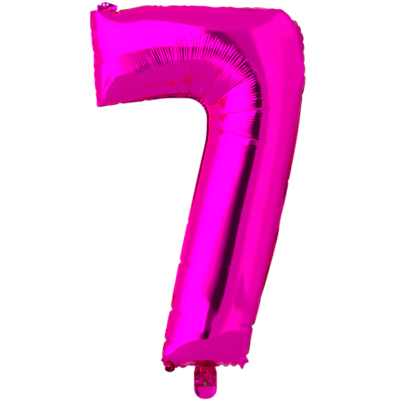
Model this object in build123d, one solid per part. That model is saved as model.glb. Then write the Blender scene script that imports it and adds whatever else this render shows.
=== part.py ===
from build123d import *

import os

# Foil number balloon, figure seven, inflated. Two foil panels are welded round their rim. A
# self-sealing film valve runs from the fill tail up into the body. Two small hanging tabs stand on
# the rim. The tail and the tabs are ends of the same foil, and fold along straight lines.
#
# Frame: +X to the right of the figure, +Y to its back, +Z up. The origin is the neck: the middle of
# the line on the bottom rim that the fill tail hangs from. The weld lies in the plane Y = 0.
# Lengths are in millimetres.

# Films, drawn thicker than real ones so that they stay solid walls.
foil_t = 0.6  # one foil panel or ply
valve_t = 0.2  # one valve film
rim_w = 9.0  # width of the weld round the edge
fold_gap = 1.5  # a fold line lies this far outside the rim

# The body's edge, inside the weld. The arm comes in from the left and the stem runs down from it.
height = 842.0  # bottom edge to top edge
arm_end_x = -269.0  # the arm's free end, at the top
arm_end_lean = 16.0  # the foot of that end lies this far in
shoulder_w = 82.0  # level stretch at the free end's top, which carries the top tab
shoulder_drop = 13.0  # it lies this far below the top edge
shoulder_run = 50.0  # the top edge climbs to its full height over this length
shoulder_r = 120.0
underside_end_z = 614.0  # underside of the arm at its free end
underside_z = 641.0  # underside of the arm where it is highest
underside_crest_x = -98.0  # the underside is level from here to the inner corner
crown = (150.0, 8.0)  # X where the top edge starts to fall, and its drop there
brow = (214.0, 26.0)  # upper point of the outer corner: X, and drop below the top edge
cheek = (237.0, 719.0)  # furthest point to the right
hip = (218.0, 588.0)
thigh = (166.0, 320.0)  # the stem's right edge bows out to here
foot_right_x = 92.0
foot_left_x = -98.0
ankle = (-98.0, 60.0)  # the stem's left edge turns straight down here
knee = (10.5, 545.0)  # the stem's left edge leaves the vertical here
inner_corner_x = 12.0  # the arm's underside and the stem's left edge would meet here
inner_r = 56.0
brow_r = 30.0
bow_r = 190.0  # the shallow bends

# How far the foil bulges from the plane of the weld.
bulge_max = 116.0  # half depth at the outer corner, where the figure is widest
roundness = 0.97  # half depth of the arm and the stem, over half their width
end_run = 120.0  # length over which a welded end swells to full depth
end_power = 0.68  # how fast it swells
end_half_depth = 1.4  # half depth at the end weld itself

# Fill tail and valve.
tail_w = 54.0
tail_len = 71.0
tail_root_w = 50.0
tail_taper = 9.0  # the tail reaches its full width this far below the neck
tail_end_r = 25.0
inlet_r = 3.5  # hole for the filling straw, in the tail's front
inlet_drop = 36.0  # neck to the inlet's centre
valve_w = 36.0
valve_inside = 95.0  # length of valve that stands free inside the body
valve_below_inlet = 8.0  # the valve runs on this far below the inlet's centre

# Hanging tabs.
top_tab_from_end = 39.0  # the arm's free end to the tab's middle
top_tab_w = 48.0
top_tab_h = 13.0
top_tab_peak = -6.0  # the peak's offset from the tab's middle
top_tab_side = 5.0  # height of the tab's short side edges
top_hole_r = 1.4
top_hole_pitch = 8.2
top_hole_rise = 4.6  # fold line to the holes
top_hole_offset = -8.0  # the middle hole's offset from the tab's middle
top_hole_count = 3
bottom_tab_x = -80.0
bottom_tab_w = 24.0
bottom_tab_len = 17.0
bottom_tab_end_r = 9.0
bottom_hole_r = 2.6
bottom_hole_drop = 9.0  # fold line to the hole

# Ribs that shape the bulge: how many spaces in the arm, round the corner and down the stem, and the
# share of each edge's length at which the corner starts and ends. They crowd towards the end welds.
arm_spaces = 9
corner_spaces = 8
stem_spaces = 14
crowding = 2.0
corner_start = (0.265, 0.235)  # along the inner edge, along the outer edge
corner_end = (0.385, 0.515)

top_tab_x = arm_end_x + top_tab_from_end

front = Vector(0, -1, 0)
back = Vector(0, 1, 0)


def flat(points):
    """Points of the figure's own plane, from their X and Z."""
    return [Vector(x, 0, z) for x, z in points]


def inner_edge():
    """The arm's underside and the stem's left edge, from the arm's free end to the foot."""
    points = [
        (arm_end_x + arm_end_lean, underside_end_z),
        (underside_crest_x, underside_z),
        (inner_corner_x, underside_z),
        knee,
        ankle,
        (foot_left_x, rim_w),
    ]
    return FilletPolyline(*flat(points), radius=[bow_r, inner_r, bow_r, bow_r])


def outer_edge():
    """The arm's top, the outer corner and the stem's right edge, in the same direction."""
    top_z = rim_w + height
    shoulder_end_x = arm_end_x + shoulder_w
    points = [
        (arm_end_x, top_z - shoulder_drop),
        (shoulder_end_x, top_z - shoulder_drop),
        (shoulder_end_x + shoulder_run, top_z),
        (crown[0], top_z - crown[1]),
        (brow[0], top_z - brow[1]),
        cheek,
        hip,
        thigh,
        (foot_right_x, rim_w),
    ]
    radii = [shoulder_r, shoulder_r, bow_r, brow_r, bow_r, bow_r, bow_r]
    return FilletPolyline(*flat(points), radius=radii)


def rim_face():
    """The figure's flat shape, out to the edge of the weld."""
    inner = inner_edge()
    outer = outer_edge()
    edges = [*outer.edges(), Line(outer @ 1, inner @ 1), *inner.edges(), Line(inner @ 0, outer @ 0)]
    return offset(make_face(edges), amount=rim_w, kind=Kind.ARC)


def rib_shares(start, end):
    """Shares of an edge's length at which the ribs stand, from the arm's free end to the foot."""
    arm = [start * (step / arm_spaces) ** crowding for step in range(arm_spaces)]
    corner = [start + (end - start) * step / corner_spaces for step in range(corner_spaces)]
    stem = [1 - (1 - end) * (step / stem_spaces) ** crowding for step in range(stem_spaces, -1, -1)]
    return arm + corner + stem


def swell(distance):
    """Share of full depth at a distance from a welded end."""
    left = max(1 - distance / end_run, 0)
    return (1 - left**2) ** end_power


def rib(start, end, from_end, inset):
    """Half an ellipse that stands to the front on the line between the two edges."""
    across = end - start
    half_w = across.length / 2
    full_depth = min(half_w * roundness, bulge_max)
    depth = end_half_depth + (full_depth - end_half_depth) * swell(from_end)
    # The plane's own Y axis is the world's, so the ellipse's lower half is the front.
    plane = Plane(origin=(start + end) / 2, x_dir=across, z_dir=across.cross(back))
    arc = EllipticalCenterArc((0, 0), half_w - inset, depth - inset, start_angle=180, arc_size=180)
    return plane * make_face([arc, Line(arc @ 1, arc @ 0)])


def bulge_ribs(inset):
    """Ribs of the inflated body's front half, drawn in by an inset all round."""
    inner = inner_edge()
    outer = outer_edge()
    starts = [inner @ share for share in rib_shares(corner_start[0], corner_end[0])]
    ends = [outer @ share for share in rib_shares(corner_start[1], corner_end[1])]
    middles = [(start + end) / 2 for start, end in zip(starts, ends)]
    walked = [0.0]
    for before, after in zip(middles, middles[1:]):
        walked.append(walked[-1] + (after - before).length)
    ribs = []
    for start, end, distance in zip(starts, ends, walked):
        ribs.append(rib(start, end, min(distance, walked[-1] - distance), inset))
    return ribs


def valve_pocket(low_z, high_z, side):
    """The room that one valve film takes between the foils, from one height to another."""
    middle = Vector(0, 0, (low_z + high_z) / 2)
    face = Plane(origin=middle, x_dir=(1, 0, 0), z_dir=side) * Rectangle(valve_w, high_z - low_z)
    return extrude(face, amount=valve_t, dir=side)


def front_panel():
    """The front foil: its bulge and its ply of the weld, with the valve's film let into the neck."""
    ply = extrude(rim_face(), amount=foil_t, dir=front)
    # The gas space starts one rib inside each end weld, so the weld closes it.
    gas = loft(bulge_ribs(foil_t)[1:-1])
    return ply + loft(bulge_ribs(0)) - gas - valve_pocket(0, rim_w + valve_inside, front)


def tail_face():
    """The fill tail's outline, hanging from its fold line."""
    top_z = -fold_gap
    wide_z = top_z - tail_taper
    points = [
        (tail_root_w / 2, top_z),
        (tail_w / 2, wide_z),
        (tail_w / 2, -tail_len),
        (-tail_w / 2, -tail_len),
        (-tail_w / 2, wide_z),
        (-tail_root_w / 2, top_z),
    ]
    edge = FilletPolyline(*flat(points), radius=[tail_taper, tail_end_r, tail_end_r, tail_taper])
    return make_face([*edge.edges(), Line(edge @ 1, edge @ 0)])


def hole(x, z, radius):
    """A round punch through the plane of the weld."""
    return Plane.XZ * Pos(x, z) * Cylinder(radius, 10 * foil_t)


def tail_ply(side):
    """One foil of the tail, hollowed for the valve film that lies against it."""
    ply = extrude(tail_face(), amount=foil_t, dir=side)
    return ply - valve_pocket(-inlet_drop - valve_below_inlet, -fold_gap, side)


def tail_valve(side):
    """One valve film's stretch inside the tail."""
    return valve_pocket(-inlet_drop - valve_below_inlet, -fold_gap, side)


def body_valve(side):
    """One valve film's stretch from the neck up into the body, where it stands free in the gas."""
    return valve_pocket(0, rim_w + valve_inside, side)


def top_tab_face():
    """A low peak over the level stretch of rim, with a row of small holes."""
    fold_z = 2 * rim_w + height - shoulder_drop + fold_gap
    left = top_tab_x - top_tab_w / 2
    right = top_tab_x + top_tab_w / 2
    peak = (top_tab_x + top_tab_peak, fold_z + top_tab_h)
    side_z = fold_z + top_tab_side
    points = [(left, fold_z), (left, side_z), peak, (right, side_z), (right, fold_z)]
    radii = [top_tab_side / 2, top_tab_side, top_tab_side / 2]
    edge = FilletPolyline(*flat(points), radius=radii)
    return make_face([*edge.edges(), Line(edge @ 1, edge @ 0)]), fold_z


def top_tab_ply(side):
    face, fold_z = top_tab_face()
    ply = extrude(face, amount=foil_t, dir=side)
    for place in range(top_hole_count):
        step = place - (top_hole_count - 1) / 2
        ply -= hole(top_tab_x + top_hole_offset + step * top_hole_pitch, fold_z + top_hole_rise, top_hole_r)
    return ply


def bottom_tab_ply(side):
    """A short tongue below the rim, with one hole."""
    left = bottom_tab_x - bottom_tab_w / 2
    right = bottom_tab_x + bottom_tab_w / 2
    low_z = -fold_gap - bottom_tab_len
    points = [(right, -fold_gap), (right, low_z), (left, low_z), (left, -fold_gap)]
    edge = FilletPolyline(*flat(points), radius=bottom_tab_end_r)
    ply = extrude(make_face([*edge.edges(), Line(edge @ 1, edge @ 0)]), amount=foil_t, dir=side)
    return ply - hole(bottom_tab_x, -fold_gap - bottom_hole_drop, bottom_hole_r)


def build():
    panel = front_panel()
    inlet = hole(0, -inlet_drop, inlet_r)
    return {
        "front_panel": panel,
        "back_panel": mirror(panel, about=Plane.XZ),
        "valve_front_film": body_valve(front),
        "valve_back_film": body_valve(back),
        "tail_front_foil": tail_ply(front) - inlet,
        "tail_back_foil": tail_ply(back),
        "tail_valve_front_film": tail_valve(front) - inlet,
        "tail_valve_back_film": tail_valve(back),
        "top_tab_front_foil": top_tab_ply(front),
        "top_tab_back_foil": top_tab_ply(back),
        "bottom_tab_front_foil": bottom_tab_ply(front),
        "bottom_tab_back_foil": bottom_tab_ply(back),
    }


os.makedirs("parts", exist_ok=True)
for node, shape in build().items():
    export_step(shape, f"parts/{node}.step")
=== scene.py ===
import math

import bmesh
import bpy
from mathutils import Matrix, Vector, kdtree, noise
from mathutils.bvhtree import BVHTree
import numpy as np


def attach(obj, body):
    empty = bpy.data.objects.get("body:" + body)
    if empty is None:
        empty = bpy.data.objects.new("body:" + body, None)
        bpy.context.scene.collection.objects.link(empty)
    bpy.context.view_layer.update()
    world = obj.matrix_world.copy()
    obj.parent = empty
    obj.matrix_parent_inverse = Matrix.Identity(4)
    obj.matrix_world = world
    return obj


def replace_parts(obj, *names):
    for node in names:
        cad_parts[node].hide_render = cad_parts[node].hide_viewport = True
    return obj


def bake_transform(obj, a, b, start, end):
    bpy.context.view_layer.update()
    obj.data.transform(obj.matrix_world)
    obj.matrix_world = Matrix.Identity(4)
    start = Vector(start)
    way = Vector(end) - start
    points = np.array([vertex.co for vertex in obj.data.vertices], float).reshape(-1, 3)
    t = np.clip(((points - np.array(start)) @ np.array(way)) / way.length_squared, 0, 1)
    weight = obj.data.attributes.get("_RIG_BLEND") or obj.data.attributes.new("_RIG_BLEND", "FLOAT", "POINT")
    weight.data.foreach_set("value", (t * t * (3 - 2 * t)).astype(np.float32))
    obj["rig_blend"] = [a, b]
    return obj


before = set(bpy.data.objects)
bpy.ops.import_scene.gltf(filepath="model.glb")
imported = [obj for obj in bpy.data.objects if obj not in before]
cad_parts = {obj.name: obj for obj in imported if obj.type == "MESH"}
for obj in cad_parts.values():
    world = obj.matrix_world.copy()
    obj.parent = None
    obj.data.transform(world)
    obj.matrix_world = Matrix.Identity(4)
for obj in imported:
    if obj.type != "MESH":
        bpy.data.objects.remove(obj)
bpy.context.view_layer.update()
mm = 0.001  # the dictionaries below are in millimetres, Blender is in metres


# Where the seam of the blown figure lies, as corners of X, Z and corner radius, with the neck at 0, 0.
figure = {
    "inner": [(-253, 614, 0), (-98, 641, 190), (12, 641, 56), (10, 545, 190), (-98, 60, 190), (-98, 9, 0)],
    "outer": [(-269, 838, 0), (-187, 838, 120), (-137, 851, 120), (150, 843, 190), (214, 825, 30),
              (237, 719, 190), (218, 588, 190), (166, 320, 190), (92, 9, 0)],
    "innerTurn": ((-44, 640), (12, 584)),
    "outerTurn": ((-40, 850), (213, 560)),
    "innerCorner": (-44, 584),  # the inner corner curves round this point
    "seamEase": 1,  # ribs each side that the seam is averaged over, so that its own puckers stay
    "endEase": 11,
    "armFill": 0.1,
    "footFill": 0.38,
    "ribPitch": 11,
    "neckFlat": 26,  # the weld is pressed flat this far each side of the neck
    "calmSteps": 16,
    "rimSteps": 2,
    "endSteps": 8,
    "panelDetail": 2,
    "panelThickness": 0.15,
}

# The film's cut, before it is inflated. Each edge runs from the arm's free end to the foot, as corners
# of X, Z and corner radius, with the neck at 0, 0. Inflating draws it in to the figure's real size.
cut = {
    "inner": [(-342, 670, 0), (-209, 630, 300), (-89, 592, 35), (-75, 494, 200), (-89, 64, 150), (-57, -57, 0)],
    "outer": [(-307, 913, 0), (-180, 930, 150), (-65, 923, 300), (143, 881, 300), (241, 822, 60),
              (250, 684, 120), (238, 541, 300), (224, 335, 300), (198, 104, 150), (159, -30, 0)],
    "innerTurn": ((-119, 595), (-83, 562)),  # the ribs fan round the corner between these points
    "outerTurn": ((-68, 923), (240, 560)),
    "armBow": 22,  # how far the arm's end is cut out beyond a straight line
    "footBow": 14,
    "weld": 9,
    "ribs": (22, 24, 46),  # in the arm, round the corner, down the stem
    "across": 24,
}

gas = {
    "scale": 10,  # Cloth works better on a larger copy
    "frames": 44,
    "rampEnd": 20,
    "pressure": 5,
    "mass": 0.1,
    "stiffness": 100,
    "shear": 20,
    "bending": 0.02,
    "startBulge": 12,
}


def roundedPath(corners):
    # a curve object with filleted corners would need operators, so the arcs are worked out here
    points = [Vector(corner[:2]) for corner in corners]
    path = [points[0]]
    for before, at, after, corner in zip(points, points[1:], points[2:], corners[1:]):
        inward, outward = (before - at).normalized(), (after - at).normalized()
        bend = inward.angle(outward)
        middle = at + (inward + outward).normalized() * corner[2] / math.sin(bend / 2)
        spoke = at + inward * corner[2] / math.tan(bend / 2) - middle
        turn = math.copysign(math.pi - bend, inward.cross(spoke))
        for step in range(17):
            angle = turn * step / 16
            path.append(middle + Vector((spoke.x * math.cos(angle) - spoke.y * math.sin(angle),
                                         spoke.x * math.sin(angle) + spoke.y * math.cos(angle))))
    return path + [points[-1]]


class Edge:
    # one long edge of the cut, walked by its share of length
    def __init__(self, corners):
        self.points = roundedPath(corners)
        self.walked = [0.0]
        for near, far in zip(self.points, self.points[1:]):
            self.walked.append(self.walked[-1] + (far - near).length)

    def at(self, share):
        length = share * self.walked[-1]
        index = 1
        while index < len(self.walked) - 1 and self.walked[index] < length:
            index += 1
        span = max(self.walked[index] - self.walked[index - 1], 1e-9)
        return self.points[index - 1].lerp(self.points[index], (length - self.walked[index - 1]) / span)

    def shareNear(self, place):
        return min((step / 800 for step in range(801)), key=lambda share: (self.at(share) - Vector(place)).length)


def ribEnds(innerCorners, outerCorners, innerTurn, outerTurn, counts):
    inner, outer = Edge(innerCorners), Edge(outerCorners)
    ends = []
    for edge, turn in ((inner, innerTurn), (outer, outerTurn)):
        gates = (0, edge.shareNear(turn[0]), edge.shareNear(turn[1]), 1)
        shares = [0]
        for near, far, count in zip(gates, gates[1:], counts):
            shares += [near + (far - near) * (step + 1) / count for step in range(count)]
        ends.append([edge.at(share) for share in shares])
    return ends


def cutFilm():
    inner, outer = ribEnds(cut["inner"], cut["outer"], cut["innerTurn"], cut["outerTurn"], cut["ribs"])
    last = len(inner) - 1
    armOut = (inner[0] + outer[0] - inner[4] - outer[4]).normalized()
    footOut = (inner[last] + outer[last] - inner[last - 4] - outer[last - 4]).normalized()
    bm = bmesh.new()
    bmesh.ops.create_grid(bm, x_segments=last, y_segments=cut["across"], size=0.5)
    rib = bm.verts.layers.float.new("rib")
    across = bm.verts.layers.float.new("across")
    flatX, flatZ = bm.verts.layers.float.new("flatX"), bm.verts.layers.float.new("flatZ")
    ply = bm.faces.layers.int.new("ply")
    for vert in bm.verts:
        row, share = round((vert.co.x + 0.5) * last), vert.co.y + 0.5
        arc = 4 * share * (1 - share)
        flat = inner[row].lerp(outer[row], share)
        flat += armOut * cut["armBow"] * arc * max(0, 1 - row / 10) ** 2
        flat += footOut * cut["footBow"] * arc * max(0, 1 - (last - row) / 12) ** 2
        swell = math.sin(math.pi * share) * min(min(row, last - row) / 6, 1)
        vert[rib], vert[across] = row, share
        vert[flatX], vert[flatZ] = flat
        vert.co = Vector((flat.x, -gas["startBulge"] * swell, flat.y))
    for face in bm.faces:
        face[ply] = 1
    copied = bmesh.ops.duplicate(bm, geom=bm.verts[:] + bm.edges[:] + bm.faces[:])["geom"]
    backFaces = [item for item in copied if isinstance(item, bmesh.types.BMFace)]
    for item in copied:
        if isinstance(item, bmesh.types.BMVert):
            item.co.y = -item.co.y
    for face in backFaces:
        face[ply] = 2
    bmesh.ops.reverse_faces(bm, faces=backFaces)
    bmesh.ops.remove_doubles(bm, verts=bm.verts, dist=0.001)
    addWeld(bm, ply)
    bm.normal_update()
    return bm


def addWeld(bm, ply):
    # a strip outside the seam, where the two films lie against each other
    flatX, flatZ = bm.verts.layers.float["flatX"], bm.verts.layers.float["flatZ"]
    seam = [edge for edge in bm.edges if len({face[ply] for face in edge.link_faces}) == 2]
    for row in range(2):
        away = {}
        for edge in seam:
            middle = (edge.verts[0].co + edge.verts[1].co) / 2
            along = edge.verts[1].co - edge.verts[0].co
            out = Vector((-along.z, 0, along.x)).normalized()
            inside = sum((face.calc_center_median() for face in edge.link_faces), Vector()) / len(edge.link_faces)
            out *= math.copysign(1, out.dot(middle - inside))
            for vert in edge.verts:
                away[vert] = away.get(vert, Vector()) + out
        old = {tuple(round(c, 4) for c in vert.co): away[vert].normalized() for vert in away}
        grown = bmesh.ops.extrude_edge_only(bm, edges=seam)["geom"]
        for item in grown:
            if isinstance(item, bmesh.types.BMVert):
                item.co += old[tuple(round(c, 4) for c in item.co)] * cut["weld"] / 2
                item[flatX], item[flatZ] = item.co.x, item.co.z
            if isinstance(item, bmesh.types.BMFace):
                item[ply] = 3
        rim = {item for item in grown if isinstance(item, bmesh.types.BMVert)}
        seam = [item for item in grown if isinstance(item, bmesh.types.BMEdge) and set(item.verts) <= rim]


def inflate(bm):
    # Cloth blows the two welded films up, which makes the puckers, tucks and notches
    ply = bm.faces.layers.int["ply"]
    weldVerts = [vert.index for vert in bm.verts if any(face[ply] == 3 for face in vert.link_faces)]
    for vert in bm.verts:
        vert.co *= gas["scale"] * mm
    mesh = bpy.data.meshes.new("filmCut")
    bm.to_mesh(mesh)
    bm.free()
    film = bpy.data.objects.new("filmCut", mesh)
    bpy.context.scene.collection.objects.link(film)
    pressed = film.vertex_groups.new(name="pressed")
    pressed.add(range(len(mesh.vertices)), 1.0, "REPLACE")
    pressed.remove(weldVerts)
    cloth = film.modifiers.new("Cloth", "CLOTH")
    film.modifiers["Cloth"].collision_settings.use_collision = False
    settings = cloth.settings
    settings.quality = 2
    settings.time_scale = 5
    settings.mass = gas["mass"]
    settings.air_damping = 5
    settings.tension_stiffness = settings.compression_stiffness = gas["stiffness"]
    settings.shear_stiffness = gas["shear"]
    settings.bending_stiffness = gas["bending"]
    settings.tension_damping = settings.compression_damping = settings.shear_damping = 0.5
    settings.use_pressure = True
    settings.vertex_group_pressure = "pressed"
    settings.effector_weights.gravity = 0
    for moment, share in ((1, 0.02), (gas["rampEnd"] // 2, 0.25), (gas["rampEnd"], 1)):
        settings.uniform_pressure_force = gas["pressure"] * share
        settings.keyframe_insert("uniform_pressure_force", frame=moment)
    cloth.point_cache.frame_end = gas["frames"]
    for moment in range(1, gas["frames"] + 1):
        bpy.context.scene.frame_set(moment)
    blown = bpy.data.meshes.new_from_object(film.evaluated_get(bpy.context.evaluated_depsgraph_get()))
    bpy.data.objects.remove(film)
    bpy.context.scene.frame_set(1)
    for vert in blown.vertices:
        vert.co /= gas["scale"]
    return blown


def eased(points, reach):
    # a running average that keeps its ends
    count = len(points)
    return [sum((points[min(max(index + step, 0), count - 1)] for step in range(-reach, reach + 1)), Vector((0, 0, 0)))
            / (2 * reach + 1) for index in range(count)]


def settle(mesh):
    # turns the blown film into the frame, then eases its seams on to the figure's edges
    ribOf = [item.value for item in mesh.attributes["rib"].data]
    acrossOf = [item.value for item in mesh.attributes["across"].data]
    inSeam = {index for face, ply in zip(mesh.polygons, mesh.attributes["ply"].data) if ply.value != 3
              for index in face.vertices}
    places = [vert.co.copy() / mm for vert in mesh.vertices]
    wanted = [[Vector((point.x, 0, point.y)) for point in side] for side in
              ribEnds(figure["inner"], figure["outer"], figure["innerTurn"], figure["outerTurn"], cut["ribs"])]
    last = len(wanted[0]) - 1
    seam = [{}, {}]
    for index in inSeam:
        if acrossOf[index] in (0, 1):
            seam[int(acrossOf[index])][round(ribOf[index])] = index
    seam = [[side[row] for row in range(last + 1)] for side in seam]
    have = [places[index] for side in seam for index in side]
    goal = [point for side in wanted for point in side]
    haveMiddle, goalMiddle = sum(have, Vector()) / len(have), sum(goal, Vector()) / len(goal)
    dots = crosses = 0
    for point, target in zip(have, goal):
        a, b = point - haveMiddle, target - goalMiddle
        dots += a.x * b.x + a.z * b.z
        crosses += a.x * b.z - a.z * b.x
    turn = math.atan2(crosses, dots)
    for point in places:
        point -= haveMiddle
        point.xyz = (point.x * math.cos(turn) - point.z * math.sin(turn), point.y,
                     point.x * math.sin(turn) + point.z * math.cos(turn))
        point += goalMiddle
    miss = []
    for side, targets in zip(seam, wanted):
        smooth = eased([places[index] for index in side], figure["seamEase"])
        miss.append([target - point for point, target in zip(smooth, targets)])
    for index, point in enumerate(places):
        row, share = round(ribOf[index]), (1 - math.cos(math.pi * acrossOf[index])) / 2
        point += miss[0][row].lerp(miss[1][row], share)
    easeEnd(places, ribOf, acrossOf, inSeam, 0, last)
    easeEnd(places, ribOf, acrossOf, inSeam, last, last)
    for vert, point in zip(mesh.vertices, places):
        vert.co = point * mm


def easeEnd(places, ribOf, acrossOf, inSeam, endRow, last):
    # the arm's end and the foot are eased on to straight lines in the same way
    row = sorted((acrossOf[index], index) for index in inSeam if round(ribOf[index]) == endRow)
    ends = places[row[0][1]].copy(), places[row[-1][1]].copy()
    miss = eased([ends[0].lerp(ends[1], share) - places[index] for share, index in row], 1)
    for index, point in enumerate(places):
        fade = 1 - abs(ribOf[index] - endRow) / figure["endEase"]
        if fade > 0:
            share = acrossOf[index] * (len(row) - 1)
            low = min(int(share), len(row) - 2)
            edge = 4 * acrossOf[index] * (1 - acrossOf[index])
            point += miss[low].lerp(miss[low + 1], share - low) * fade * fade * min(1, edge * 3)


def fade(value, low, high):
    share = min(max((value - low) / (high - low), 0), 1)
    return share * share * (3 - 2 * share)


def fillEnds(mesh):
    # the arm's end and the foot stand as full as the real ones close to their welds
    last = sum(cut["ribs"])
    ribOf = [item.value for item in mesh.attributes["rib"].data]
    for vert, row in zip(mesh.vertices, ribOf):
        arm = figure["armFill"] * (1 - fade(row * figure["ribPitch"], 15, 110))
        foot = figure["footFill"] * (1 - fade((last - row) * figure["ribPitch"], 25, 150))
        # the foot is fullest over the neck and flatter at its left
        x = vert.co.x / mm
        foot *= 1 + 0.8 * math.exp(-((x + 14) / 34) ** 2) - 0.55 * fade(-x, 35, 85)
        vert.co.y *= 1 + arm + foot


def pressNeck(mesh):
    # the weld is flat where the tail and valve pass through it
    for vert in mesh.vertices:
        near = 1 - min(max((abs(vert.co.x) / mm - figure["neckFlat"]) / 24, 0), 1)
        low = 1 - min(max(vert.co.z / mm / 26, 0), 1)
        if near * low > 0 and vert.co.z < 0.012:
            vert.co.y *= 1 - near * low
    return mesh


print("film: cutting and inflating")
blownFilm = inflate(cutFilm())
settle(blownFilm)
fillEnds(blownFilm)
pressNeck(blownFilm)
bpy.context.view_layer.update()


def makePiece(name, bm, body=None, smooth=True):
    mesh = bpy.data.meshes.new(name)
    bm.to_mesh(mesh)
    bm.free()
    piece = bpy.data.objects.new(name, mesh)
    bpy.context.scene.collection.objects.link(piece)
    if smooth:
        mesh.shade_smooth()
    if body:
        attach(piece, body)
    return piece


def subdivided(bm, levels):
    # the subdivision is applied, so that fine shapes can be worked into the result
    draft = makePiece("draft", bm)
    detail = draft.modifiers.new("Subdivision", "SUBSURF")
    detail.levels = detail.render_levels = levels
    detail.boundary_smooth = "ALL"
    mesh = bpy.data.meshes.new_from_object(draft.evaluated_get(bpy.context.evaluated_depsgraph_get()))
    bpy.data.objects.remove(draft)
    bm = bmesh.new()
    bm.from_mesh(mesh)
    bpy.data.meshes.remove(mesh)
    return bm


# Tucks that run out from the inner corner: angle in degrees from +X, then where each starts and ends.
tucks = {
    "lines": [(108, 62, 112), (83, 59, 142), (52, 60, 160), (31, 64, 190), (6, 60, 200), (-19, 72, 194)],
    "depth": 1.6,
    "width": 7,
    "lineWidth": 1.6,
    "lineDepth": 1.1,
    "wander": 14,
}


valley = {
    "low": (-15, 4),  # the foot is drawn in here, above the neck
    "high": (-15, 82),
    "depth": 5,
    "width": 7,
}


def valleyDepth(point):
    low, high = Vector(valley["low"]), Vector(valley["high"])
    offset = Vector((point.x, point.z)) / mm - low
    way = (high - low).normalized()
    along, aside = offset.dot(way), offset.cross(way)
    share = 1 - fade(along, 0, (high - low).length)
    return valley["depth"] * share * math.exp(-abs(aside) / valley["width"]) * fade(along, -6, 10)


def tuckDepth(point):
    centre = Vector((figure["innerCorner"][0], figure["innerCorner"][1]))
    offset = Vector((point.x, point.z)) / mm - centre
    deep = 0
    for angle, start, end in tucks["lines"]:
        way = Vector((math.cos(math.radians(angle)), math.sin(math.radians(angle))))
        along, aside = offset.dot(way), abs(offset.cross(way))
        if start - 14 < along < end + 12:
            share = min(1, (along - start + 14) / 14, (end + 12 - along) / 60)
            deep += tucks["depth"] * share * math.exp(-(aside / tucks["width"]) ** 2)
    return deep


# Notches where the weld has buckled: X and Z on the seam, the way inward in degrees from +X, how far the
# edge is drawn in and how far its crease runs.
notches = [
    (-51, 248, -13, 4.5, 16), (-71, 135, -22, 5, 34), (-90, 66, -10, 4.5, 24), (-30, 340, -13, 2, 10),
    (110, 99, 172, 5, 34), (96, 30, 165, 4.5, 18), (192, 440, 168, 2, 10), (232, 640, 178, 3, 12),
    (-206, 838, -80, 5, 22), (-110, 850, -95, 3, 16), (-40, 851, -88, 2.5, 14), (50, 850, -92, 2.5, 14),
    (110, 846, -95, 2.5, 14), (165, 841, -100, 3, 18), (190, 834, -112, 3, 18), (208, 824, -128, 3, 18),
    (219, 808, -145, 3, 18), (226, 788, -155, 3, 18), (231, 765, -162, 3, 18), (235, 742, -172, 3, 18),
    (237, 716, 180, 3, 16), (235, 690, 180, 3, 14),
    (-267, 792, 0, 2, 20), (-264, 742, 0, 2, 20), (-260, 700, 0, 2, 18), (-256, 650, 5, 2, 18),
    (-200, 626, 82, 2.5, 12), (-140, 638, 85, 2, 10),
    (-84, 12, 80, 4, 14), (-62, 10, 95, 4, 16), (-40, 9, 85, 3, 12), (38, 9, 95, 4, 14), (58, 9, 90, 4, 16),
    (76, 11, 110, 4, 14),
    (86, 6, 92, -7.5, 5), (99, 17, 175, -6, 5), (-96, 20, 5, -4, 5),  # folded corners stand out instead
]


def notchShift(point, normal, flatness):
    shift = Vector()
    spot = Vector((point.x, point.z)) / mm
    for x, z, heading, draw, run in notches:
        way = Vector((math.cos(math.radians(heading)), math.sin(math.radians(heading))))
        offset = spot - Vector((x, z))
        if offset.length > run + 16:
            continue
        along, aside = offset.dot(way), offset.cross(way)
        narrow = math.exp(-(aside / 4.2) ** 2)
        edge = math.exp(-max(along, 0) / 9) * fade(along, -16, -2)
        drawn = draw * narrow * (edge if along > 0 else 1)
        shift += Vector((way.x, 0, way.y)) * drawn * mm
        crease = math.exp(-(aside / 2.6) ** 2) * fade(along, -3, 4) * (1 - fade(along, run * 0.4, run))
        shift -= normal * 0.35 * draw * crease * flatness * mm
    return shift


def calm(bm):
    # the stem and the arm's middle are pulled taut, while the seams and the inner corner keep their puckers
    ribAt, acrossAt = bm.verts.layers.float["rib"], bm.verts.layers.float["across"]
    arm, turn, stem = cut["ribs"]
    for vert in bm.verts:
        fromSeam = 4 * vert[acrossAt] * (1 - vert[acrossAt])
        fromEnd = min(vert[ribAt], arm + turn + stem - vert[ribAt])
        inTurn = max(0, 1 - abs(vert[ribAt] - arm - turn * 0.5) / (turn * 0.75))
        vert.tag = fromSeam > 0.3 + 0.22 * inTurn and fromEnd > 3
    taut = [vert for vert in bm.verts if vert.tag]
    for step in range(figure["calmSteps"]):
        bmesh.ops.smooth_vert(bm, verts=taut, factor=0.5, use_axis_x=True, use_axis_y=True, use_axis_z=True)
    # the weld across the arm's end is straight, and elsewhere it ripples only a little
    ply = bm.faces.layers.int["ply"]
    rim = [vert for vert in bm.verts if all(face[ply] == 3 for face in vert.link_faces)]
    endRim = [vert for vert in rim if vert[ribAt] < 0.5 and 0.04 < vert[acrossAt] < 0.96]
    for verts, steps in ((rim, figure["rimSteps"]), (endRim, figure["endSteps"])):
        for step in range(steps):
            bmesh.ops.smooth_vert(bm, verts=verts, factor=0.5, use_axis_x=True, use_axis_y=True, use_axis_z=True)


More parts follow.
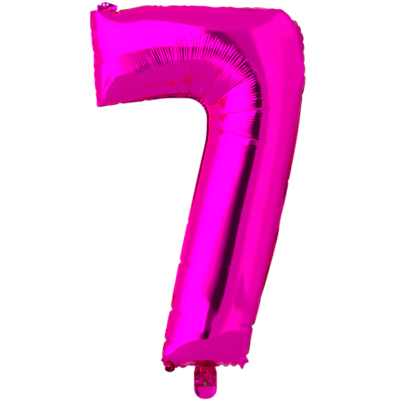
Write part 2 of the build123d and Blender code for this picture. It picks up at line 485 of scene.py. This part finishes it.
def measureSeam(bm, gap, run):
    # how far each point of the cut lies inside the seam, below 0 in the weld, and how far along it
    inner, outer = ribEnds(cut["inner"], cut["outer"], cut["innerTurn"], cut["outerTurn"],
                           tuple(count * 2 for count in cut["ribs"]))
    ends = [[corners[0].lerp(corners[1], step / 40) for step in range(1, 40)]
            for corners in ((outer[0], inner[0]), (inner[-1], outer[-1]))]
    ring = inner + ends[1] + outer[::-1] + ends[0]
    walked = 0
    nearest = kdtree.KDTree(len(ring))
    runs = []
    for index, spot in enumerate(ring):
        walked += (spot - ring[index - 1]).length if index else 0
        runs.append(walked)
        nearest.insert((spot.x, spot.y, 0), index)
    nearest.balance()
    flatX, flatZ = bm.verts.layers.float["flatX"], bm.verts.layers.float["flatZ"]
    ply = bm.faces.layers.int["ply"]
    for vert in bm.verts:
        spot, index, distance = nearest.find((vert[flatX], vert[flatZ], 0))
        before, after = ring[index - 1], ring[(index + 1) % len(ring)]
        along = (after - before).normalized()
        offset = Vector((vert[flatX], vert[flatZ])) - ring[index]
        inWeld = all(face[ply] == 3 for face in vert.link_faces)
        vert[gap] = math.copysign(abs(offset.cross(along)), -1 if inWeld else 1) * mm
        vert[run] = (runs[index] + offset.dot(along)) * mm


def flattenWeld(bm, gap, toward):
    # the two films of the weld lie on each other, so the middle of each is drawn to its own side by a hair
    for vert in bm.verts:
        if vert[gap] < 0:
            vert.co.y += toward * 0.03 * mm


def declareSheet(piece):
    # the flat cut is what the film map shows, in metres
    film = piece.data.uv_layers["film"].data
    spots = [item.uv.copy() for item in film]
    size = [max(spot[axis] for spot in spots) - min(spot[axis] for spot in spots) for axis in (0, 1)]
    area = 0
    for face in piece.data.polygons:
        ring = [spots[index] for index in face.loop_indices]
        area += abs(sum(near.cross(far) for near, far in zip(ring, ring[1:] + ring[:1]))) / 2
    print("sheet:", piece.name, [round(side, 4) for side in size], round(area, 5))


def panel(name, keep):
    bm = bmesh.new()
    bm.from_mesh(blownFilm)
    ply = bm.faces.layers.int["ply"]
    bmesh.ops.delete(bm, geom=[face for face in bm.faces if face[ply] not in (keep, 3)], context="FACES")
    crease = bm.edges.layers.float.new("crease_edge")
    for edge in bm.edges:
        if len({face[ply] for face in edge.link_faces}) == 2:
            edge[crease] = 0.55
    toward = -1 if keep == 1 else 1
    bmesh.ops.recalc_face_normals(bm, faces=bm.faces)
    if sum(face.normal.y * face.calc_area() for face in bm.faces) * toward < 0:
        bmesh.ops.reverse_faces(bm, faces=bm.faces)
    calm(bm)
    bm = subdivided(bm, figure["panelDetail"])
    bm.normal_update()
    flatX, flatZ = bm.verts.layers.float["flatX"], bm.verts.layers.float["flatZ"]
    gap, run = bm.verts.layers.float.new("seamGap"), bm.verts.layers.float.new("seamRun")
    measureSeam(bm, gap, run)
    for vert in bm.verts:
        inside = fade(vert[gap], -0.002, 0.004)
        deep = (tuckDepth(vert.co) + valleyDepth(vert.co)) * mm
        moved = -vert.normal * deep * inside + notchShift(vert.co, vert.normal, inside)
        vert.co += moved
    flattenWeld(bm, gap, toward)
    film = bm.loops.layers.uv.new("film")
    for face in bm.faces:
        for loop in face.loops:
            loop[film].uv = (loop.vert[flatX] * mm + 0.45, loop.vert[flatZ] * mm + 0.1)
    piece = makePiece(name, bm, "body")
    wall = piece.modifiers.new("Thickness", "SOLIDIFY")
    wall.thickness = figure["panelThickness"] * mm
    wall.offset = 1
    return piece


frontFoil = panel("frontFoil", 1)
backFoil = panel("backFoil", 2)
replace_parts(frontFoil, "front_panel")
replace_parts(backFoil, "back_panel")
declareSheet(frontFoil)
declareSheet(backFoil)
print("film: panels have", len(frontFoil.data.polygons), "faces each")


class Wire:
    # a value in a material: sums written on it add the Math nodes
    def __init__(self, maker, socket):
        self.maker = maker
        self.socket = socket

    def math(self, operation, *others):
        inputs = dict(enumerate((self, *others)))
        return self.maker.add("ShaderNodeMath", {"operation": operation}, inputs)

    def __add__(self, other):
        return self.math("ADD", other)

    __radd__ = __add__

    def __mul__(self, other):
        return self.math("MULTIPLY", other)

    __rmul__ = __mul__

    def __sub__(self, other):
        return self.math("SUBTRACT", other)

    def __rsub__(self, other):
        return (self * -1).math("ADD", other)

    def __truediv__(self, other):
        return self.math("DIVIDE", other)

    def __pow__(self, other):
        return self.math("POWER", other)

    def band(self, low, high):
        # 0 below low and 1 above high, eased; low may be the larger
        settings = {"interpolation_type": "SMOOTHSTEP"}
        return self.maker.add("ShaderNodeMapRange", settings, {"Value": self, "From Min": low, "From Max": high})


class Finish:
    def __init__(self, name, **surface):
        self.material = bpy.data.materials.new(name)
        self.material.use_nodes = True
        self.tree = self.material.node_tree
        self.shader = self.tree.nodes["Principled BSDF"]
        self.join(self.shader, {key.replace("_", " "): value for key, value in surface.items()})

    @classmethod
    def forWorld(cls, world):
        finish = cls.__new__(cls)
        finish.tree = world.node_tree
        finish.tree.nodes.clear()
        return finish

    def join(self, node, inputs):
        for key, value in inputs.items():
            if isinstance(value, Wire):
                self.tree.links.new(value.socket, node.inputs[key])
            else:
                node.inputs[key].default_value = value

    def add(self, kind, settings=None, inputs=None, output=0):
        node = self.tree.nodes.new(kind)
        for name, value in (settings or {}).items():
            if name == "stops":
                for stop, (place, colour) in enumerate(value):
                    entry = node.color_ramp.elements[stop] if stop < 2 else node.color_ramp.elements.new(place)
                    entry.position, entry.color = place, (*colour, 1)
            else:
                setattr(node, name, value)
        self.join(node, inputs or {})
        return Wire(self, node.outputs[output])

    def mix(self, factor, low, high):
        inputs = {0: factor, 6: low, 7: high}
        return self.add("ShaderNodeMix", {"data_type": "RGBA"}, inputs, 2)

    def split(self, vector):
        return [self.add("ShaderNodeSeparateXYZ", None, {0: vector}, axis) for axis in range(3)]

    def noise(self, vector, scale, detail=2, rough=0.5):
        return self.add("ShaderNodeTexNoise", None,
                        {"Vector": vector, "Scale": scale, "Detail": detail, "Roughness": rough})

    def bump(self, height, distance, strength=1.0, under=None):
        inputs = {"Height": height, "Distance": distance, "Strength": strength}
        if under:
            inputs["Normal"] = under
        return self.add("ShaderNodeBump", None, inputs)

    def set(self, **inputs):
        self.join(self.shader, {key.replace("_", " "): value for key, value in inputs.items()})


tail = {
    "rootHalf": 25,
    "half": 27.2,
    "bottom": -71.2,
    "endRadius": 25,
    "rise": 25,  # the crumpled root stands this far up in front of the body
    "climb": 2.4,  # the root runs this much further over the swell of the foot than it rises
    "backRise": 5,
    "seal": 3.2,  # the two foils are welded this far in from the tail's edge
    "pocket": 1.0,
    "valveFoot": -43,  # the valve films end here and the foil below is smooth
    "crumple": 3.1,
    "inlet": (-1, -36),
    "inletRadius": 3.5,
    "lean": -0.012,
    "turn": 0.2,  # the hanging part is turned a little to the right and its foot comes forward
    "tilt": 0.13,
    "thickness": 0.12,
    "filmHalf": 18,
    "filmTop": 104,
}

foil = {
    "colour": (1.0, 0.0004, 0.45, 1),
    "thinInk": (1.0, 0.001, 0.5, 1),
    # the weld is darker, partly its own duller pressed tone and partly painted shade
    "weldToneAndShade": (0.55, 0.0, 0.14, 1),
    "valveCrumpleShade": (0.5, 0.0, 0.075, 1),  # painted shade on the crumpled part of the tail, where the valve lies under the foil
    # painted shade for the ring round the inlet hole and the curled tab
    "paintedShadeInk": (0.2, 0.0, 0.03, 1),
    "edgeTint": (1.0, 0.2, 0.6, 1),
    "roughness": 0.085,
    "pleatPitch": 5.4,
    "pleatRadius": 140,  # the pitch is measured this far from the inner corner
    "pleatDepth": 0.42,
    "puckerPitch": 6,
    "puckerDepth": 0.5,
    "creaseDepth": 0.05,
    "quiltDepth": 0.12,
    "grainDepth": 0.08,
    "sealPitch": 1.6,
}


def foilFinish(name, onTail=False):
    look = Finish(name, Metallic=1.0, Specular_Tint=foil["edgeTint"])
    film = look.add("ShaderNodeUVMap", {"uv_map": "film"})
    place = look.add("ShaderNodeTexCoord", None, None, 3)
    x, y, z = look.split(place)
    # fine pleats fan round the inner corner, on a crescent that is widest above it
    east, north = x - figure["innerCorner"][0] * mm, z - figure["innerCorner"][1] * mm
    angle = north.math("ARCTAN2", east)
    radius = (east * east + north * north).math("SQRT")
    wander = look.noise(place, 11, 1) - 0.5
    turns = angle * (foil["pleatRadius"] / foil["pleatPitch"] * 2 * math.pi)
    uneven = look.noise(angle * 21, 1, 1) - 0.5
    pleat = ((turns + wander * 5 + uneven * 9).math("SINE") * 0.5 + 0.5) ** (1.2 + uneven * 1.6)
    fan = angle.band(-0.25, 0.35) * angle.band(2.75, 2.25)
    ragged = look.noise(angle * 9, 1, 2) - 0.5
    inner = 0.098 + (angle - 1.35).math("ABSOLUTE") * 0.012 + ragged * 0.05
    outer = 0.2 - (angle - 1.0).math("ABSOLUTE") * 0.024 + ragged * 0.07
    crescent = (radius - inner).band(0, 0.018) * (outer - radius).band(0, 0.02) * fan
    patches = look.noise(angle * 5, 1, 1).band(0.32, 0.6)
    pleats = pleat * crescent * (0.35 + patches * 0.65)
    # short puckers stand across the seams, and the weld has a fine pressed grain
    edge = look.add("ShaderNodeAttribute", {"attribute_name": "seamGap"}, None, 2)
    along = look.add("ShaderNodeAttribute", {"attribute_name": "seamRun"}, None, 2)
    puckerTurns = along * (2 * math.pi / (foil["puckerPitch"] * mm)) + (look.noise(place, 30, 1) - 0.5) * 7
    puckers = (puckerTurns.math("SINE") * 0.5 + 0.5) * edge.band(0.024, 0.002) * look.noise(place, 14, 1).band(0.35, 0.6)
    grain = look.add("ShaderNodeTexVoronoi", {"distance": "CHEBYCHEV"}, {"Vector": film, "Scale": 1000 / foil["sealPitch"]})
    weld = edge.band(0.0005, -0.0005)
    # the film itself is faintly quilted, with a few handling creases
    quilt = look.noise(film, 38, 3, 0.55)
    crease = (look.noise(film, 26, 2, 0.6) - 0.5).math("ABSOLUTE").band(0.03, 0.0)
    creased = crease * look.noise(film, 9, 1).band(0.52, 0.7)
    height = pleats * (foil["pleatDepth"] * mm) + puckers * (foil["puckerDepth"] * mm)
    height = height + grain * weld * (foil["grainDepth"] * mm) + quilt * (foil["quiltDepth"] * mm)
    height = height + creased * (foil["creaseDepth"] * mm)
    for degrees, start, end in tucks["lines"]:
        turn = math.radians(degrees)
        out, aside = east * math.cos(turn) + north * math.sin(turn), east * math.sin(turn) - north * math.cos(turn)
        aside = (aside + wander * (tucks["wander"] * mm)).math("ABSOLUTE")
        reach = out.band((start - 8) * mm, start * mm) * out.band((end + 6) * mm, (end - 40) * mm)
        height = height - aside.band(tucks["lineWidth"] * mm, 0) * reach * (tucks["lineDepth"] * mm)
    if onTail:
        height = quilt * (foil["quiltDepth"] * mm)
    look.set(Normal=look.bump(height, 1.0))
    rough = foil["roughness"] + look.noise(film, 60, 3) * 0.03 + weld * 0.09 + creased * 0.04
    look.set(Roughness=rough)
    ink = look.mix(look.noise(film, 16, 3).band(0.25, 0.8), foil["thinInk"], foil["colour"])
    shaded = x.band(-0.235, -0.2) * 0.6 + 0.15  # painted light: the weld at the arm's own end is darkened less, as that end catches the light
    # painted shade on the weld, on top of its own pressed tone
    ink = look.mix(weld * shaded, ink, foil["weldToneAndShade"])
    if onTail:
        # painted shade: the crumpled part over the valve, a ring round the inlet, and the curled tab are darkened for
        # the shade they lie in
        over = (z + look.noise(place, 45, 2) * 0.006).band(-0.041, -0.038)
        ink = look.mix(over * look.noise(place, 70, 3).band(0.2, 0.5), ink, foil["valveCrumpleShade"])
        besideInlet, aboveInlet = x - tail["inlet"][0] * mm, z - tail["inlet"][1] * mm
        # painted shade: a dark ring round the inlet hole, and the curled tab darkened as it turns away from the light
        ring = (besideInlet * besideInlet + aboveInlet * aboveInlet).math("SQRT").band(0.0068, 0.0045)
        ink = look.mix(ring.math("MAXIMUM", x.band(-0.05, -0.06)), ink, foil["paintedShadeInk"])
    look.set(Base_Color=ink)
    return look.material


valve = {"colour": (0.42, 0.3, 0.36, 1), "alpha": 0.25, "roughness": 0.14}


def valveFinish():
    look = Finish("clearValveFilm", Alpha=valve["alpha"])
    place = look.add("ShaderNodeTexCoord", None, None, 3)
    haze = look.noise(place, 90, 3)
    look.set(Roughness=valve["roughness"] + haze * 0.12, Normal=look.bump(haze, 0.0003))
    look.set(Base_Color=look.mix(haze, valve["colour"], (0.62, 0.55, 0.58, 1)))
    return look.material


foilLook, tailLook, filmLook = foilFinish("magentaFoil"), foilFinish("tailFoil", True), valveFinish()
for piece in (frontFoil, backFoil):
    piece.data.materials.append(foilLook)
print("materials: made")


class Sheet:
    # a small piece of film, made as a grid that a path function puts in place
    def __init__(self, columns, rows, place):
        self.bm = bmesh.new()
        bmesh.ops.create_grid(self.bm, x_segments=columns, y_segments=rows, size=0.5)
        self.gap = self.bm.verts.layers.float.new("seamGap")
        self.run = self.bm.verts.layers.float.new("seamRun")
        self.film = self.bm.loops.layers.uv.new("film")
        self.flat = {}
        for vert in self.bm.verts:
            flat, spot = place(vert.co.x * 2, vert.co.y + 0.5)
            vert.co = Vector(spot) * mm
            self.flat[vert] = flat

    def punch(self, middle, radius):
        # the points round a hole are drawn on to its edge
        away = {vert: (Vector(flat) - Vector(middle)) for vert, flat in self.flat.items()}
        gone = [vert for vert, offset in away.items() if offset.length < radius * 0.9]
        rim = {other for vert in gone for edge in vert.link_edges for other in edge.verts} - set(gone)
        bmesh.ops.delete(self.bm, geom=gone, context="VERTS")
        for vert in gone:
            del self.flat[vert]
        for vert in rim:
            slide = away[vert].normalized() * radius - away[vert]
            vert.co += Vector((slide.x, 0, slide.y)) * mm

    def finish(self, name, side, thickness, body=None):
        bmesh.ops.recalc_face_normals(self.bm, faces=self.bm.faces)
        if sum(face.normal.y for face in self.bm.faces) * side < 0:
            bmesh.ops.reverse_faces(self.bm, faces=self.bm.faces)
        for vert, flat in self.flat.items():
            vert[self.gap], vert[self.run] = 0.05, 0
            for loop in vert.link_loops:
                loop[self.film].uv = (flat[0] * mm + 0.45, flat[1] * mm + 0.1)
        piece = makePiece(name, self.bm, body)
        wall = piece.modifiers.new("Thickness", "SOLIDIFY")
        wall.thickness, wall.offset = thickness * mm, 1
        return piece


skin = BVHTree.FromObject(frontFoil, bpy.context.evaluated_depsgraph_get())


def skinFront(x, z):
    # how far forward the blown front lies at a place, or the nearest weld
    hit = skin.ray_cast(Vector((x, -1000, z)) * mm, Vector((0, 1, 0)))[0]
    if hit is None:
        hit = skin.find_nearest(Vector((x, 0, z)) * mm)[0]
    return hit.y / mm


def tailHalf(z):
    if z > 0:
        return tail["rootHalf"] - 4.5 * z / tail["rise"] + 1.2 * noise.noise(Vector((z / 5, 3, 1)))
    tuckIn = fade(z, 0, -10)
    half = tail["rootHalf"] + (tail["half"] - tail["rootHalf"]) * tuckIn
    turnZ = tail["bottom"] + tail["endRadius"]
    if z < turnZ:
        drop = min((turnZ - z) / tail["endRadius"], 1)
        half = half - tail["endRadius"] + tail["endRadius"] * math.sqrt(1 - drop * drop)
    return half


def crumple(x, z):
    # creases run both ways where the stiff valve films lie between the foils
    rough = fade(z, tail["valveFoot"] - 3, tail["valveFoot"] + 5) * (0.75 + 0.35 * fade(z, -14, 4))
    folds = 1.2 * abs(noise.noise(Vector((x / 15 + 4.2, z / 12, 2.5)))) - 0.3
    folds += 0.6 * abs(noise.noise(Vector((x / 8, z / 7, 7.5)))) - 0.15
    folds += 0.09 * noise.noise(Vector((x / 3.4, z / 3.4, 1.5)))
    return tail["crumple"] * folds * rough + 0.5 * noise.noise(Vector((x / 22, z / 22, 5)))


def tailSpot(x, z, side, inset=0.0):
    half = tailHalf(z)
    inside = min(half - abs(x), (z - tail["bottom"]) * 0.8)
    puff = tail["pocket"] * fade(inside, tail["seal"] - 1, tail["seal"] + 8)
    y = crumple(x, z) + side * (0.08 + (puff * (1 - inset)))
    if z > -6 and side < 0:
        up = fade(z, -6, 5)
        front = skinFront(x, max(z, 0.5)) - 1.2 + min(crumple(x, z), 0.6) * 1.3
        y = y * (1 - up) + front * up
    elif z > -6:
        y = y * (1 - fade(z, -6, 1)) + 0.45 * fade(z, -6, 1)
    hang = fade(z, 0, -16)
    y += hang * (x * tail["turn"] + (z + 6) * tail["tilt"])
    return (x + z * tail["lean"], y, z)


def tailFoil(name, side):
    top = tail["rise"] if side < 0 else tail["backRise"]

    def place(across, up):
        z = tail["bottom"] + (top - tail["bottom"]) * (1 - (1 - up) ** 1.25 if up < 1 else 1)
        if side < 0 and up > 0.9:
            z += 1.6 * noise.noise(Vector((across * 3, 0, 4))) * (up - 0.9) * 10
        x = across * tailHalf(z)
        return (x, z * tail["climb"] if z > 0 > side else z), tailSpot(x, z, side)

    sheet = Sheet(46, 84, place)
    if side < 0:
        sheet.punch(tail["inlet"], tail["inletRadius"])
    piece = sheet.finish(name, side, tail["thickness"])
    piece.data.materials.append(tailLook)
    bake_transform(piece, "body", "tail", start=(0, 0, 0.003), end=(0, 0, -0.010))
    declareSheet(piece)
    return piece


def valveFilm(name, side):
    def place(across, up):
        z = tail["valveFoot"] + (tail["filmTop"] - tail["valveFoot"]) * up
        x = across * tail["filmHalf"]
        inTail = 1 - fade(z, -3, 2)
        wave = 7 * fade(z, 12, 90) * math.sin(z / 17) + 1.2 * fade(z, 12, 60) * side * math.cos(x / 12)
        y = inTail * tailSpot(x, min(z, -6), side, 0.75)[1] + (1 - inTail) * (side * 0.06 + wave)
        return (x, z), (x, y, z)

    sheet = Sheet(24, 90, place)
    if side < 0:
        sheet.punch(tail["inlet"], tail["inletRadius"])
    piece = sheet.finish(name, side, 0.04)
    piece.data.materials.append(filmLook)
    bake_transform(piece, "body", "tail", start=(0, 0, 0.003), end=(0, 0, -0.010))
    declareSheet(piece)
    return piece


tailFrontFoil, tailBackFoil = tailFoil("tailFrontFoil", -1), tailFoil("tailBackFoil", 1)
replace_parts(tailFrontFoil, "tail_front_foil")
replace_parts(tailBackFoil, "tail_back_foil")
valveFrontFilm, valveBackFilm = valveFilm("valveFrontFilm", -1), valveFilm("valveBackFilm", 1)
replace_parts(valveFrontFilm, "valve_front_film", "tail_valve_front_film")
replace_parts(valveBackFilm, "valve_back_film", "tail_valve_back_film")
print("tail: foils and valve films")


topTab = {
    "left": -254,
    "right": -206,
    "peak": -236,
    "rim": 843,
    "grip": 4,  # the root lies this far down on the weld
    "sideTop": 851.0,
    "peakTop": 859.8,
    "holes": [(-246.2, 853.1), (-238, 853.1), (-229.8, 853.1)],
    "holeRadius": 1.4,
}


def topTabFoil(name, side):
    def place(across, up):
        x = (topTab["left"] + topTab["right"]) / 2 + across * (topTab["right"] - topTab["left"]) / 2
        rise = (x - topTab["left"]) / (topTab["peak"] - topTab["left"])
        fall = (topTab["right"] - x) / (topTab["right"] - topTab["peak"])
        top = topTab["sideTop"] + (topTab["peakTop"] - topTab["sideTop"]) * fade(min(rise, fall), -0.25, 1.2) * 1.04
        z = topTab["rim"] - topTab["grip"] + (top - topTab["rim"] + topTab["grip"]) * up
        near = [skinFront(x + aside, topTab["rim"] - topTab["grip"]) for aside in (-12, -8, -4, 0, 4, 8, 12)]
        root = sum(near) / len(near) * (1 - fade(z, topTab["rim"], topTab["rim"] + 9))
        wave = 1.6 * noise.noise(Vector((x / 13, z / 18, 6))) * fade(z, topTab["rim"], topTab["rim"] + 8)
        return (x, z), (x, root + wave + side * 0.3 - (0.4 if side < 0 else 0), z)

    sheet = Sheet(52, 22, place)
    for hole in topTab["holes"]:
        sheet.punch(hole, topTab["holeRadius"])
    piece = sheet.finish(name, side, tail["thickness"])
    piece.data.materials.append(foilLook)
    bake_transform(piece, "body", "top_tab", start=(-0.23, 0, 0.8465), end=(-0.23, 0, 0.8505))
    declareSheet(piece)
    return piece


bottomTab = {
    "middle": -83,
    "half": 12,
    "endRadius": 9,
    "base": 5,
    "straight": 3,
    "curl": 6.0,  # it curls forward and up at this radius
    "length": 20,
    "hole": (-83, -10.5),
    "holeRadius": 2.6,
}


def bottomTabFoil(name, side):
    def place(across, up):
        walked = (bottomTab["base"] + bottomTab["length"]) * (1 - up) - bottomTab["base"]
        left = bottomTab["length"] - walked
        half = bottomTab["half"]
        if left < bottomTab["endRadius"]:
            drop = 1 - left / bottomTab["endRadius"]
            half = half - bottomTab["endRadius"] * (1 - math.sqrt(max(1 - drop * drop, 0)))
        offset = across * half
        x = bottomTab["middle"] + offset
        root = skinFront(x, max(-walked, 1)) * fade(walked, 2, -4)
        straight = bottomTab["straight"] - 5.5 * abs(across) ** 2.5  # its sides curl sooner, so it looks rounded
        along = max(walked - straight, 0)
        radius = bottomTab["curl"] * (1 - 0.02 * along) + side * 0.2
        turn = along / bottomTab["curl"]
        y = root - 0.8 - bottomTab["curl"] + radius * math.cos(turn)
        z = -min(walked, straight) - radius * math.sin(turn)
        dent = 1.5 * noise.noise(Vector((x / 6, walked / 6, 3)))
        return (x, -walked), (x, y + side * (0.2 if along == 0 else 0) + dent * fade(walked, -2, 6), z + dent * 0.5)

    sheet = Sheet(26, 28, place)
    sheet.punch(bottomTab["hole"], bottomTab["holeRadius"])
    piece = sheet.finish(name, side, tail["thickness"])
    piece.data.materials.append(tailLook)
    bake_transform(piece, "body", "bottom_tab", start=(-0.08, 0, 0.001), end=(-0.08, 0, -0.003))
    declareSheet(piece)
    return piece


for side, face in ((-1, "Front"), (1, "Back")):
    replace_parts(topTabFoil("topTab" + face + "Foil", side), "top_tab_" + face.lower() + "_foil")
    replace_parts(bottomTabFoil("bottomTab" + face + "Foil", side), "bottom_tab_" + face.lower() + "_foil")
print("tabs: top and bottom")


camera = {
    "middle": (-12.4, 394.9),
    "frameWidth": 938.6,
    "lens": 120,
}


def placeCamera():
    data = bpy.data.cameras.new("camera")
    data.lens, data.sensor_width = camera["lens"], 36
    data.clip_end = 50
    view = bpy.data.objects.new("camera", data)
    away = camera["frameWidth"] * camera["lens"] / 36
    view.location = Vector((camera["middle"][0], -away, camera["middle"][1])) * mm
    view.rotation_euler = (math.radians(90), 0, 0)
    bpy.context.scene.collection.objects.link(view)
    bpy.context.scene.camera = view


studio = {
    "floorDrop": 300,
    "floorSize": 2800,
    "floorGrey": 0.52,
    "fillSize": (1.2, 1.2),
    "fillAngle": -60,  # degrees round from the camera, to the left
    "fillDistance": 3,
    "fillHeight": 2.4,
    "fillGlow": 1.2,
    # the tall softbox at the camera's left and the dark studio round the camera, as eased angles in radians
    "keyLeft": (-2.05, -1.5),
    "keyRight": (-0.14, -0.21),
    "keyBottom": (-0.34, -0.26),
    "keyFoot": (-1.3, -0.6),
    "keyTop": (1.12, 1.02),
    "keyGlow": 2.6,
    "darkLeft": (-1.17, -0.02),
    "darkRight": (0.27, 0.19),
    "darkTop": (0.12, 0.0),
    "darkBottom": (-1.42, -1.25),
    "darkTaper": 0.6,  # it narrows towards the floor
    "darkGlow": 0.04,
    "stripLeft": (-0.24, -0.1),
    "stripRight": (0.2, 0.1),
    "stripTop": (1.05, 0.9),
    "stripGlow": 0.2,
    "ceilingGlow": 0.55,
    "overheadGlow": 0.72,
    "groundGlow": 0.66,
}


def softbox(name, width, height, angle, distance, centreZ, glow):
    data = bpy.data.lights.new(name, "AREA")
    data.shape, data.size, data.size_y = "RECTANGLE", width, height
    data.energy = glow * math.pi * width * height
    box = bpy.data.objects.new(name, data)
    turn = math.radians(angle)
    box.location = (math.sin(turn) * distance, -math.cos(turn) * distance, centreZ)
    box.rotation_euler = (Vector((0, 0, 0.42)) - box.location).to_track_quat("-Z", "Y").to_euler()
    box.visible_camera = False
    bpy.context.scene.collection.objects.link(box)


def lightStudio():
    softbox("fillSoftbox", *studio["fillSize"], studio["fillAngle"], studio["fillDistance"], studio["fillHeight"],
            studio["fillGlow"])
    world = bpy.data.worlds.new("studio")
    bpy.context.scene.world = world
    world.use_nodes = True
    room = Finish.forWorld(world)
    x, y, z = room.split(room.add("ShaderNodeTexCoord"))
    right = x.math("ARCTAN2", y * -1)  # the angle round to the right of the camera, in radians
    up = z.math("ARCSINE")
    # level with the balloon the light changes round the room: a bright wall, then dimmer towards the back
    glow = 0.82 + right.band(0.55, 0.8) * 0.45 - right.band(0.95, 1.5) * 0.45 - right.band(1.8, 2.6) * 0.3
    glow = glow + right.band(2.9, 3.1) * 0.3 - right.band(0.2, 0.3) * right.band(0.6, 0.5) * 0.15
    # above the camera's right the ceiling is dimmer, and evenly so overhead
    ceiling = up.band(0.12, 0.3) * right.band(0.1, 0.2) * right.band(0.8, 0.45)
    glow = glow * (1 - ceiling) + ceiling * studio["ceilingGlow"]
    overhead = up.band(0.95, 1.15)
    glow = glow * (1 - overhead) + overhead * studio["overheadGlow"]
    ground = up.band(-0.35, -0.75) * right.band(0.05, 0.2)
    ground = ground.math("MAXIMUM", up.band(-1.0, -1.3))
    glow = glow * (1 - ground) + ground * studio["groundGlow"]
    key = right.band(*studio["keyLeft"]) * right.band(*studio["keyRight"]) * up.band(*studio["keyTop"])
    low = right.band(-1.1, -0.9) * up.band(*studio["keyFoot"])
    key = key * up.band(*studio["keyBottom"]).math("MAXIMUM", low)
    glow = glow * (1 - key) + key * studio["keyGlow"]
    # the studio is dark round the camera and up behind it
    narrow = right / (1 + up.math("MINIMUM", 0) * studio["darkTaper"])
    dark = narrow.band(*studio["darkLeft"]) * narrow.band(*studio["darkRight"])
    dark = dark * up.band(*studio["darkTop"]) * up.band(*studio["darkBottom"])
    strip = right.band(*studio["stripLeft"]) * right.band(*studio["stripRight"])
    strip = strip * up.band(*studio["stripTop"]) * up.band(-0.1, 0.05)
    glow = glow * (1 - strip) + strip * studio["stripGlow"]
    glow = glow * (1 - dark) + dark * studio["darkGlow"]
    seen = room.add("ShaderNodeLightPath")
    glow = glow * (1 - seen) + seen
    glow = room.add("ShaderNodeBackground", None, {"Color": (1, 1, 1, 1), "Strength": glow})
    out = room.tree.nodes.new("ShaderNodeOutputWorld")
    room.tree.links.new(glow.socket, out.inputs["Surface"])


def layFloor():
    bm = bmesh.new()
    bmesh.ops.create_grid(bm, x_segments=1, y_segments=1, size=studio["floorSize"] * mm / 2)
    bmesh.ops.translate(bm, verts=bm.verts, vec=(0, 0, -studio["floorDrop"] * mm))
    floor = makePiece("studioFloor", bm, None, False)
    look = Finish("paleFloor", Roughness=0.7)
    grey = studio["floorGrey"]
    look.set(Base_Color=look.mix(look.noise(look.add("ShaderNodeTexCoord", None, None, 3), 6, 2),
                                 (grey, grey, grey, 1), (grey + 0.02, grey + 0.02, grey + 0.02, 1)))
    floor.data.materials.append(look.material)


placeCamera()
lightStudio()
layFloor()
bpy.context.scene.view_settings.view_transform = "Standard"
print("studio: camera, lights and floor")
